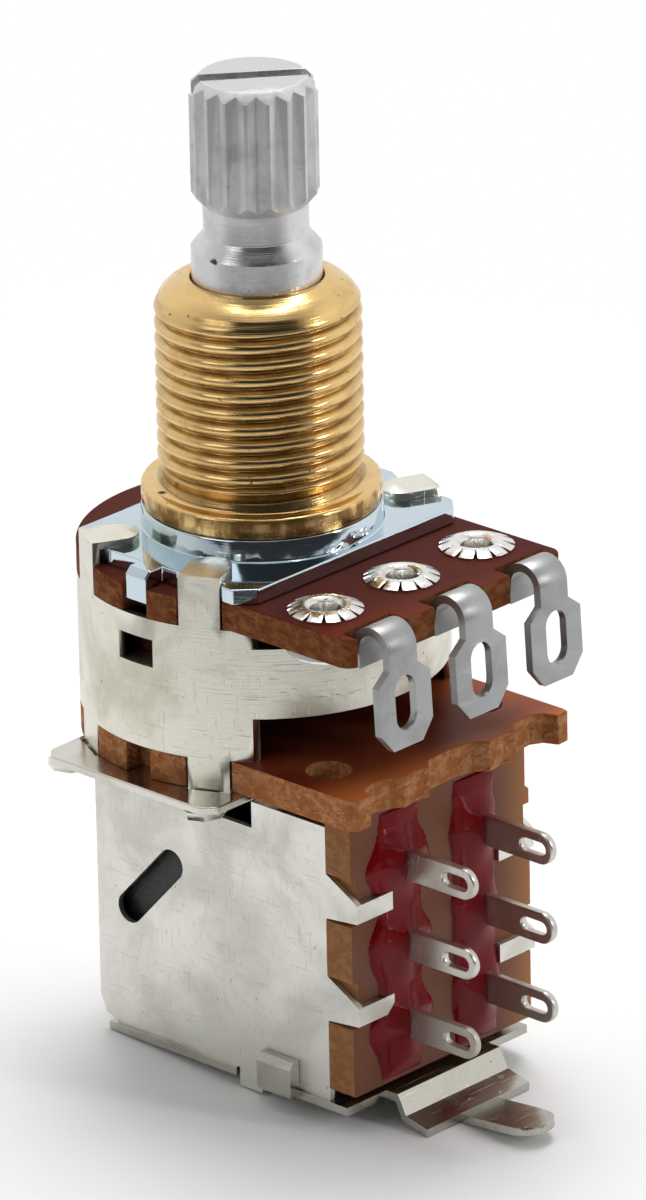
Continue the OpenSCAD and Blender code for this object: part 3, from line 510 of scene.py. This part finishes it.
def make_materials():
    """All materials of the part, by name"""
    f = settings("pot_finish")
    sheet = sheet_group()
    turned = turned_group()
    board = board_group()
    dirt = f.dirt
    made = {}
    made["tin"] = shade("Tin plate", sheet, {
        "Base": rgba(f.tin), "Stain": (0.52, 0.48, 0.37, 1), "Roughness": 0.25, "Spread": 0.15,
        "Scratches": f.scratch, "Specks": dirt}, metallic=1.0, bump=0.02)
    made["plate"] = shade("Bright tin", sheet, {
        "Base": (0.70, 0.68, 0.62, 1), "Stain": (0.42, 0.38, 0.30, 1), "Roughness": 0.14, "Spread": 0.14,
        "Scratches": 0.6 * f.scratch, "Specks": dirt}, metallic=1.0, bump=0.015)
    made["case"] = shade("Switch tin", sheet, {
        "Base": (0.78, 0.77, 0.715, 1), "Stain": (0.58, 0.57, 0.51, 1), "Roughness": 0.33,
        "Spread": 0.16, "Scratches": f.scratch, "Specks": 0.6 * dirt}, metallic=1.0, bump=0.02)
    made["cover"] = shade("Cover tin", sheet, {
        "Base": (0.52, 0.51, 0.46, 1), "Stain": (0.36, 0.34, 0.28, 1), "Roughness": 0.15, "Spread": 0.14,
        "Scratches": 0.8 * f.scratch, "Specks": dirt}, metallic=1.0, bump=0.015)
    made["zinc"] = shade("Bright zinc", sheet, {
        "Base": rgba(f.zinc), "Stain": (0.45, 0.58, 0.52, 1), "Roughness": 0.02, "Spread": 0.05,
        "Scratches": 0.3, "Specks": dirt}, metallic=1.0, bump=0.002)
    made["solder"] = shade("Matte tin", sheet, {
        "Base": (0.42, 0.425, 0.43, 1), "Stain": (0.30, 0.30, 0.295, 1), "Roughness": 0.36,
        "Spread": 0.12, "Scratches": 0.5, "Specks": 0.4 * dirt}, metallic=1.0, bump=0.012)
    made["lug"] = shade("Lug tin", sheet, {
        "Base": (0.66, 0.63, 0.58, 1), "Stain": (0.40, 0.35, 0.30, 1), "Roughness": 0.26,
        "Spread": 0.18, "Scratches": 0.8, "Specks": 0.6 * dirt}, metallic=1.0, bump=0.012)
    made["eyelet"] = shade("Eyelet tin", turned, {
        "Base": (0.86, 0.85, 0.82, 1), "Stain": (0.36, 0.33, 0.28, 1), "Roughness": 0.18,
        "Spread": 0.2, "Rings": 0.2, "Specks": dirt}, metallic=1.0, bump=0.02)
    made["brass"] = shade("Turned brass", turned, {
        "Base": rgba(f.brass), "Stain": (0.52, 0.28, 0.08, 1), "Dark tone": (0.19, 0.085, 0.018, 1),
        "Roughness": 0.17, "Spread": 0.14, "Rings": 0.8, "Specks": dirt, "Groove": 0.75,
        "Rim": 0.85, "Nick": 1.0, "Nick at": FLANGE_NICK}, metallic=1.0, bump=0.015)
    made["shaft"] = shade("Shaft", turned, {
        "Base": rgba(f.shaft), "Stain": (0.44, 0.44, 0.45, 1), "Roughness": 0.24, "Spread": 0.16,
        "Rings": 0.8, "Specks": 0.25 * dirt, "Knurl": 1.0, "Nick": 1.0, "Nick at": SHAFT_NICK},
        metallic=1.0, bump=0.012)
    made["steel"] = shade("Spring steel", turned, {
        "Base": (0.55, 0.55, 0.56, 1), "Stain": (0.35, 0.34, 0.33, 1), "Roughness": 0.25,
        "Spread": 0.1, "Rings": 0.4, "Specks": 0.2}, metallic=1.0, bump=0.01)
    made["bronze"] = shade("Contact bronze", sheet, {
        "Base": (0.72, 0.46, 0.24, 1), "Stain": (0.45, 0.25, 0.12, 1), "Roughness": 0.28,
        "Spread": 0.12, "Scratches": 0.6, "Specks": 0.3}, metallic=1.0, bump=0.01)
    made["silver"] = shade("Printed silver", sheet, {
        "Base": (0.6, 0.59, 0.56, 1), "Stain": (0.4, 0.39, 0.36, 1), "Roughness": 0.45,
        "Spread": 0.1, "Scratches": 0.3, "Specks": 0.3}, metallic=0.8, bump=0.01)
    made["carbon"] = shade("Printed carbon", board, {
        "Face": (0.012, 0.012, 0.013, 1), "Edge": (0.02, 0.02, 0.02, 1), "Fibre": (0.03, 0.03, 0.03, 1),
        "Roughness": 0.5, "Edge roughness": 0.7, "Across Z": 1.0}, metallic=0.0, bump=0.01)
    made["black"] = shade("Black plastic", board, {
        "Face": (0.010, 0.010, 0.011, 1), "Edge": (0.012, 0.012, 0.012, 1),
        "Fibre": (0.02, 0.02, 0.02, 1), "Roughness": 0.42, "Edge roughness": 0.45, "Across Z": 1.0},
        metallic=0.0, bump=0.01)
    made["brown"] = shade("Brown plastic", board, {
        "Face": (0.060, 0.016, 0.011, 1), "Edge": (0.065, 0.017, 0.011, 1),
        "Fibre": (0.08, 0.025, 0.015, 1), "Roughness": 0.4, "Edge roughness": 0.45, "Across Z": 1.0},
        metallic=0.0, bump=0.01)
    # The three boards carry painted light on their faces, towards the front edge and the right side
    made["red_board"] = shade("Coated board", board, {
        "Face": (0.075, 0.012, 0.009, 1), "Edge": (0.15, 0.045, 0.016, 1), "Fibre": (0.30, 0.13, 0.05, 1),
        "Roughness": 0.42, "Edge roughness": 0.8, "Across Z": 1.0, "Painted light": (0.20, 0.032, 0.012, 1),
        "Painted light front": 0.6}, metallic=0.0, bump=0.06, Specular_IOR_Level=0.03)
    made["low_board"] = shade("Bare board", board, {
        "Face": (0.14, 0.018, 0.008, 1), "Edge": (0.33, 0.115, 0.036, 1), "Fibre": (0.56, 0.29, 0.14, 1),
        "Roughness": 0.36, "Edge roughness": 0.85, "Across Z": 1.0, "Painted light": (0.56, 0.15, 0.028, 1),
        "Painted light front": 0.95, "Painted light right": 0.3}, metallic=0.0, bump=0.07,
        Specular_IOR_Level=0.1, Subsurface_Weight=0.15, Subsurface_Scale=0.6 * MM)
    made["term_board"] = shade("Upright board", board, {
        "Face": (0.15, 0.045, 0.020, 1), "Edge": (0.26, 0.105, 0.035, 1), "Fibre": (0.36, 0.18, 0.075, 1),
        "Roughness": 0.4, "Edge roughness": 0.75, "Across Z": 0.0, "Painted light": (0.46, 0.20, 0.06, 1),
        "Painted light right": 0.85}, metallic=0.0, bump=0.03,
        Specular_IOR_Level=0.3, Subsurface_Weight=0.2, Subsurface_Scale=0.8 * MM)
    made["resin"] = shade("Sealing resin", turned, {
        "Base": rgba(f.resin), "Stain": (0.08, 0.001, 0.003, 1), "Roughness": 0.09, "Spread": 0.05,
        "Rings": 0.0, "Specks": 0.0}, metallic=0.0, bump=0.05, Specular_IOR_Level=0.16)
    return made


WEARS = {
    "shaft": "shaft", "shaft_clip": "steel", "front_plate": "zinc", "element_board": "red_board",
    "bushing": "brass", "resistive_track": "carbon", "collector_ring": "silver",
    "terminal_left": "solder", "terminal_centre": "solder", "terminal_right": "solder",
    "eyelet_left": "eyelet", "eyelet_centre": "eyelet", "eyelet_right": "eyelet", "rotor": "brown",
    "wiper": "bronze", "shell": "tin", "base_board": "low_board", "support_plate": "plate",
    "switch_case": "case", "terminal_board": "term_board", "lug_top_left": "lug",
    "lug_mid_left": "lug", "lug_low_left": "lug", "lug_top_right": "lug", "lug_mid_right": "lug",
    "lug_low_right": "lug", "sealant_left": "resin", "sealant_right": "resin", "slider": "black",
    "contact_clip_left": "bronze", "contact_clip_right": "bronze", "detent_ball": "steel",
    "detent_spring": "steel", "bottom_cover": "cover",
}
MADE = {}


def material(name):
    """The material of that name; all are made at the first call"""
    if not MADE:
        MADE.update(make_materials())
    return MADE[name]


# Nodes with turned or wrapped walls, whose facets are smoothed again after their edges are rounded
ROUND_NODES = ("shaft", "shell")


def soften(obj, width):
    """Rounds the sharp edges of a CAD node with modifiers, without changing its mesh"""
    weld = obj.modifiers.new("Weld", "WELD")
    weld.merge_threshold = WELD_DISTANCE
    bevel = obj.modifiers.new("Soft edges", "BEVEL")
    bevel.width = width * MM
    bevel.segments = EDGE_STEPS
    bevel.limit_method = "ANGLE"
    bevel.angle_limit = SHARP_ANGLE
    bevel.use_clamp_overlap = True
    bevel.harden_normals = obj.name not in ROUND_NODES
    if obj.name in ROUND_NODES:
        even = obj.modifiers.new("Even normals", "WEIGHTED_NORMAL")
        even.weight = NORMAL_WEIGHT


def mesh_object(name, verts, faces):
    """A new smooth mesh object from vertices in millimetres"""
    mesh = bpy.data.meshes.new(name)
    mesh.from_pydata([[c * MM for c in v] for v in verts], [], faces)
    mesh.validate()
    work = bmesh.new()
    work.from_mesh(mesh)
    bmesh.ops.recalc_face_normals(work, faces=work.faces)
    work.to_mesh(mesh)
    work.free()
    for polygon in mesh.polygons:
        polygon.use_smooth = True
    obj = bpy.data.objects.new(name, mesh)
    bpy.context.scene.collection.objects.link(obj)
    return obj


def crest(phase):
    """Height of a thread's section from 0 at the root to 1 at the crest, with rounded ends"""
    rise = abs((phase % 1.0) * 2.0 - 1.0)
    rise = min(1.0, max(0.0, (rise - CREST_FLAT) / (1 - 2 * CREST_FLAT)))
    return 1 - (1 - rise) ** CREST_FULLNESS


def thread_envelope(z, major):
    """Radius of the wall that the thread is cut in, from a list of (height, radius)"""
    marks = [(0.0, 4.62), (0.35, 4.5), (0.75, 4.6), (1.1, major), (8.45, major), (8.8, major - 0.08),
             (9.15, major - 0.32), (9.42, 4.16), (9.62, 3.84), (9.74, 3.58)]
    for (z0, r0), (z1, r1) in zip(marks, marks[1:]):
        if z <= z1:
            return r0 + (r1 - r0) * (z - z0) / (z1 - z0)
    return marks[-1][1]


def bushing_section(angle, s):
    """Closed section of the bushing at one angle, as (radius, height) in millimetres"""
    major = s.major_d / MM / 2
    pitch = s.pitch / MM
    depth = s.depth / MM
    turn = (angle + s.phase) / (2 * math.pi)
    round_rim = (math.cos(angle) * 6, math.sin(angle) * 6, 2)
    mark = TOOL_MARK_DEPTH * abs(math.sin(angle * TOOL_MARKS)) + RIM_UNEVEN * noise.noise(round_rim)
    rim = FLANGE_R - mark
    section = [(BORE_R, -2.12), (3.9, -2.12), (4.4, -1.95), (4.4, -1.77), (3.9, -1.77), (3.9, -1.02),
               (5.42, -1.02), (rim - 0.04, -0.98), (rim, -0.88), (rim, -0.55), (rim, -0.16),
               (rim - 0.05, -0.06), (5.40, 0.0), (5.1, 0.0), (4.6, 0.0)]
    steps = int(WALL_LENGTH / pitch * s.rows)
    for i in range(steps + 1):
        z = WALL_FOOT + WALL_LENGTH * i / steps
        outer = thread_envelope(z, major)
        cut = major - depth * (1 - crest((z - s.start / MM) / pitch - turn))
        fade_in = min(1.0, max(0.0, (z - RUN_IN[0]) / RUN_IN[1]))
        fade_out = min(1.0, max(0.0, (RUN_OUT[0] - z) / RUN_OUT[1]))
        cut = outer + (min(cut, outer) - outer) * (fade_in * fade_out)
        section.append((min(outer, cut), z))
    section += [(3.38, 9.84), (3.2, 9.9), (3.1, 9.88), (BORE_R, 9.78), (BORE_R, 6.0), (BORE_R, 0.0)]
    return section


def build_bushing():
    """Turned brass bushing with a helical thread and the tool marks of its flange"""
    s = settings("pot_thread")
    verts = []
    for k in range(s.columns):
        angle = 2 * math.pi * k / s.columns
        for r, z in bushing_section(angle, s):
            verts.append((r * math.cos(angle), r * math.sin(angle), z))
    n = len(verts) // s.columns
    faces = []
    for k in range(s.columns):
        a = k * n
        b = ((k + 1) % s.columns) * n
        for i in range(n):
            j = (i + 1) % n
            faces.append((a + i, b + i, b + j, a + j))
    obj = mesh_object("bushing_thread", verts, faces)
    even = obj.modifiers.new("Even normals", "WEIGHTED_NORMAL")
    even.weight = NORMAL_WEIGHT
    obj.data.materials.append(material("brass"))
    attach(obj, "housing")
    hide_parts("bushing")


def resin_height(x, z, middle, half, lug_x, waist, seed):
    """Thickness of a bead of resin as a share of its full height, a little below 0 outside its outline"""
    swell = sum(math.exp(-((z - row) / SWELL) ** 2) for row in LUG_ROWS)
    uneven = noise.noise((x * 0.6, z * 0.45, seed))
    side = 1.0 if x > middle else 2.0
    width = half * (0.92 - waist * (1 - min(1.0, swell))) + 0.22 * noise.noise((side, z * 0.9, seed + 3))
    across = (x - middle) / width
    if abs(across) >= 1:
        return -SUNK
    dome = (1 - across * across) ** 0.5
    near = max(math.exp(-(((x - lug_x) / MOUND[0]) ** 2 + ((z - row) / MOUND[1]) ** 2)) for row in LUG_ROWS)
    ridge = 0.38 + 0.34 * min(1.0, swell) + 0.28 * near
    return max(0.02, dome * (ridge + 0.16 * uneven))


def build_bead(name, node, middle, half, lug_x, waist):
    """One bead of resin: a domed, uneven skin on a flat back"""
    s = settings("pot_sealant")
    face_y = s.face_y / MM
    low = s.low / MM
    high = s.high / MM
    nx = BEAD_COLUMNS
    nz = BEAD_ROWS
    verts = []
    for j in range(nz + 1):
        z = low + (high - low) * j / nz
        end = min((z - low) / BEAD_END, (high - z) / BEAD_END, 1.0)
        end = max(0.0, end) ** 0.5
        for i in range(nx + 1):
            x = middle + (half + SUNK) * (2 * i / nx - 1)
            h = resin_height(x, z, middle, half, lug_x, waist, s.seed)
            h = min(h, h * end)
            verts.append((x, face_y - h * s.height / MM, z))
    faces = []
    for j in range(nz):
        for i in range(nx):
            a = j * (nx + 1) + i
            faces.append((a, a + 1, a + nx + 2, a + nx + 1))
    count = len(verts)
    verts += [(x, face_y + SUNK, z) for x, y, z in verts]
    faces += [tuple(count + v for v in reversed(f)) for f in faces]
    rim = list(range(nx + 1))
    rim += [j * (nx + 1) + nx for j in range(1, nz + 1)]
    rim += [nz * (nx + 1) + i for i in range(nx - 1, -1, -1)]
    rim += [j * (nx + 1) for j in range(nz - 1, 0, -1)]
    for a, b in zip(rim, rim[1:] + rim[:1]):
        faces.append((a, b, count + b, count + a))
    obj = mesh_object(name, verts, faces)
    obj.data.materials.append(material("resin"))
    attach(obj, "housing")
    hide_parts(node)


def dress_nodes():
    """Gives each CAD node its material and softened edges"""
    for name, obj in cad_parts.items():
        wanted = material(WEARS[name])
        obj.data.materials.clear()
        obj.data.materials.append(wanted)
        if name in SOFT_EDGES:
            soften(obj, SOFT_EDGES[name])


def make_camera():
    """The camera, at the photograph's angle, distance and lens"""
    s = settings("pot_stage")
    a = s.turn
    e = s.drop
    ahead = Vector((math.sin(a) * math.cos(e), math.cos(a) * math.cos(e), -math.sin(e)))
    right = Vector((math.cos(a), -math.sin(a), 0))
    up = right.cross(ahead)
    turned_right = right * math.cos(s.roll) + up * math.sin(s.roll)
    turned_up = up * math.cos(s.roll) - right * math.sin(s.roll)
    place = AIM + turned_right * s.aim_side + turned_up * s.aim_up - ahead * s.distance
    data = bpy.data.cameras.new("Camera")
    data.sensor_fit = "VERTICAL"
    data.sensor_height = SENSOR
    data.sensor_width = SENSOR
    data.lens = s.lens
    data.clip_start = 0.01
    data.clip_end = 10
    camera = bpy.data.objects.new("Camera", data)
    columns = Matrix((turned_right, turned_up, -ahead)).transposed()
    camera.matrix_world = Matrix.Translation(place) @ columns.to_4x4()
    bpy.context.scene.collection.objects.link(camera)
    bpy.context.scene.camera = camera
    bpy.context.scene.view_settings.view_transform = "Standard"


def make_light(name, place, size, power):
    """A soft rectangular light that faces the part's middle"""
    data = bpy.data.lights.new(name, "AREA")
    data.shape = "RECTANGLE"
    data.size = size[0]
    data.size_y = size[1]
    data.energy = power
    light = bpy.data.objects.new(name, data)
    light.location = place
    light.rotation_euler = (LIT_POINT - Vector(place)).to_track_quat("-Z", "Y").to_euler()
    bpy.context.scene.collection.objects.link(light)


def toward_camera():
    """Level direction from the part to the camera, and the level direction to its right"""
    a = settings("pot_stage").turn
    return (-math.sin(a), -math.cos(a), 0.0), (math.cos(a), -math.sin(a), 0.0)


def make_world():
    """A pale room with a dark side behind the camera, and white where the camera sees it directly"""
    s = settings("pot_stage")
    world = bpy.data.worlds.new("Room")
    bpy.context.scene.world = world
    world.use_nodes = True
    t = Tree(world.node_tree)
    back = world.node_tree.nodes["Background"]
    out = world.node_tree.nodes["World Output"]
    coords = t.add("ShaderNodeTexCoord")
    near, right = toward_camera()
    toward = t.dot(coords.outputs["Generated"], near)
    side = t.dot(coords.outputs["Generated"], right)
    height = t.dot(coords.outputs["Generated"], (0.0, 0.0, 1.0))
    tone = t.mix(t.ramp(side, -0.9, 0.2), grey(0.84), (0.6, 0.6, 0.61, 1.0))
    tone = t.mix(t.ramp(side, 0.35, 0.85), tone, (1.2, 1.19, 1.16, 1.0))
    tone = t.mix(t.ramp(toward, -0.1, -0.6), tone, grey(1.05))
    tone = t.mix(t.ramp(toward, -0.05, 0.5), tone, (0.04, 0.04, 0.042, 1.0))
    tone = t.mix(t.ramp(height, 0.83, 0.97), tone, WHITE)
    t.link(tone, back.inputs["Color"])
    back.inputs["Strength"].default_value = s.sky
    white = t.add("ShaderNodeBackground")
    white.inputs["Color"].default_value = WHITE
    path = t.add("ShaderNodeLightPath")
    choice = t.add("ShaderNodeMixShader")
    t.link(path.outputs["Is Camera Ray"], choice.inputs["Fac"])
    t.link(back.outputs["Background"], choice.inputs[1])
    t.link(white.outputs["Background"], choice.inputs[2])
    t.link(choice.outputs["Shader"], out.inputs["Surface"])


def make_floor():
    """A pale floor under the cover's lip and back edge; what lies toward the camera mirrors dark"""
    s = settings("pot_stage")
    half = FLOOR_HALF
    mesh = bpy.data.meshes.new("floor")
    corners = [(-half, -half, 0), (half, -half, 0), (half, half, 0), (-half, half, 0)]
    mesh.from_pydata(corners, [], [(0, 1, 2, 3)])
    floor = bpy.data.objects.new("floor", mesh)
    floor.location = FLOOR_PLACE
    floor.rotation_euler = (s.floor_tilt, 0, 0)
    bpy.context.scene.collection.objects.link(floor)
    pale = bpy.data.materials.new("Pale floor")
    pale.use_nodes = True
    t = Tree(pale.node_tree)
    shader = pale.node_tree.nodes["Principled BSDF"]
    out = pale.node_tree.nodes["Material Output"]
    place = t.place()
    soft = t.noise(t.place((0.02, 0.02, 0.02)), 1.0, 2.0)
    t.link(t.mix(soft, grey(0.93), grey(0.95)), shader.inputs["Base Color"])
    shader.inputs["Roughness"].default_value = 0.6
    shader.inputs["Specular IOR Level"].default_value = 0.1
    near, right = toward_camera()
    far = t.length(place)
    heading = t.math("DIVIDE", t.dot(place, near), far)
    aside = t.math("DIVIDE", t.dot(place, right), far)
    dark = t.math("MULTIPLY", t.ramp(heading, 0.1, 0.7), t.ramp(far, *DARK_START))
    depth = t.mix(t.ramp(far, *DARK_END), (0.02, 0.02, 0.016, 1), (0.42, 0.42, 0.425, 1))
    depth = t.mix(t.ramp(far, *GREY_START), depth, (0.50, 0.50, 0.505, 1))
    tone = t.mix(dark, (0.98, 0.98, 0.97, 1), depth)
    left = t.math("MULTIPLY", t.ramp(aside, -0.3, -0.8), t.ramp(far, *LEFT_START))
    tone = t.mix(t.math("MULTIPLY_ADD", left, 0.3, 0.05), tone, grey(0.35))
    mirrored = t.add("ShaderNodeEmission")
    t.link(tone, mirrored.inputs["Color"])
    path = t.add("ShaderNodeLightPath")
    glossy = t.add("ShaderNodeMixShader")
    in_mirror = t.math("MULTIPLY", path.outputs["Is Glossy Ray"], t.ramp(far, *MIRROR_START))
    t.link(in_mirror, glossy.inputs["Fac"])
    t.link(shader.outputs["BSDF"], glossy.inputs[1])
    t.link(mirrored.outputs["Emission"], glossy.inputs[2])
    white = t.add("ShaderNodeEmission")
    white.inputs["Color"].default_value = WHITE
    clear = t.add("ShaderNodeMixShader")
    in_view = t.math("MULTIPLY", path.outputs["Is Camera Ray"], t.ramp(far, *WHITE_START))
    t.link(in_view, clear.inputs["Fac"])
    t.link(glossy.outputs["Shader"], clear.inputs[1])
    t.link(white.outputs["Emission"], clear.inputs[2])
    t.link(clear.outputs["Shader"], out.inputs["Surface"])
    mesh.materials.append(pale)


def make_stage():
    """Camera, room, floor and the three lights"""
    s = settings("pot_stage")
    make_camera()
    make_world()
    make_floor()
    make_light("Key", (0.12, 0.08, 0.42), (0.24, 0.24), s.key_power)
    make_light("Right", (0.17, -0.38, 0.16), (0.05, 0.12), 0.75 * s.fill_power)
    make_light("Left", (-0.36, 0.06, 0.22), (0.20, 0.26), 0.6 * s.fill_power)


class POT_OT_stage(bpy.types.Operator):
    """Set the camera, floor and light"""
    bl_idname = "pot.stage"
    bl_label = "Stage"
    bl_options = {"REGISTER", "UNDO"}

    def execute(self, context):
        make_stage()
        return {"FINISHED"}


class POT_OT_dress(bpy.types.Operator):
    """Give the CAD nodes their materials and soft edges"""
    bl_idname = "pot.dress"
    bl_label = "Dress nodes"
    bl_options = {"REGISTER", "UNDO"}

    def execute(self, context):
        dress_nodes()
        return {"FINISHED"}


class POT_OT_bushing(bpy.types.Operator):
    """Build the threaded bushing"""
    bl_idname = "pot.bushing"
    bl_label = "Threaded bushing"
    bl_options = {"REGISTER", "UNDO"}

    def execute(self, context):
        build_bushing()
        return {"FINISHED"}


class POT_OT_sealant(bpy.types.Operator):
    """Build the two beads of sealing resin"""
    bl_idname = "pot.sealant"
    bl_label = "Sealing resin"
    bl_options = {"REGISTER", "UNDO"}

    def execute(self, context):
        for name, bead in BEADS.items():
            build_bead(name, *bead)
        return {"FINISHED"}


class POT_PT_panel(bpy.types.Panel):
    """Settings and steps of the dressing"""
    bl_idname = "POT_PT_panel"
    bl_label = "Potentiometer"
    bl_space_type = "VIEW_3D"
    bl_region_type = "UI"
    bl_category = "Potentiometer"

    def draw(self, context):
        for name, group in GROUPS.items():
            box = self.layout.box()
            box.label(text=group.__doc__)
            for key in group.__annotations__:
                box.prop(getattr(context.scene, name), key)
        for operator in OPERATORS:
            self.layout.operator(operator.bl_idname)


OPERATORS = (POT_OT_stage, POT_OT_dress, POT_OT_bushing, POT_OT_sealant)
CLASSES = tuple(GROUPS.values()) + OPERATORS + (POT_PT_panel,)


def register():
    """Adds the settings, operators and panel"""
    for cls in CLASSES:
        bpy.utils.register_class(cls)
    for name, group in GROUPS.items():
        setattr(bpy.types.Scene, name, PointerProperty(type=group))


def unregister():
    """Takes them out again"""
    for name in GROUPS:
        delattr(bpy.types.Scene, name)
    for cls in reversed(CLASSES):
        bpy.utils.unregister_class(cls)


def main():
    """Builds the dressed part and its stage"""
    register()
    bpy.ops.pot.stage()
    bpy.ops.pot.dress()
    bpy.ops.pot.bushing()
    bpy.ops.pot.sealant()


if __name__ == "__main__":
    main()
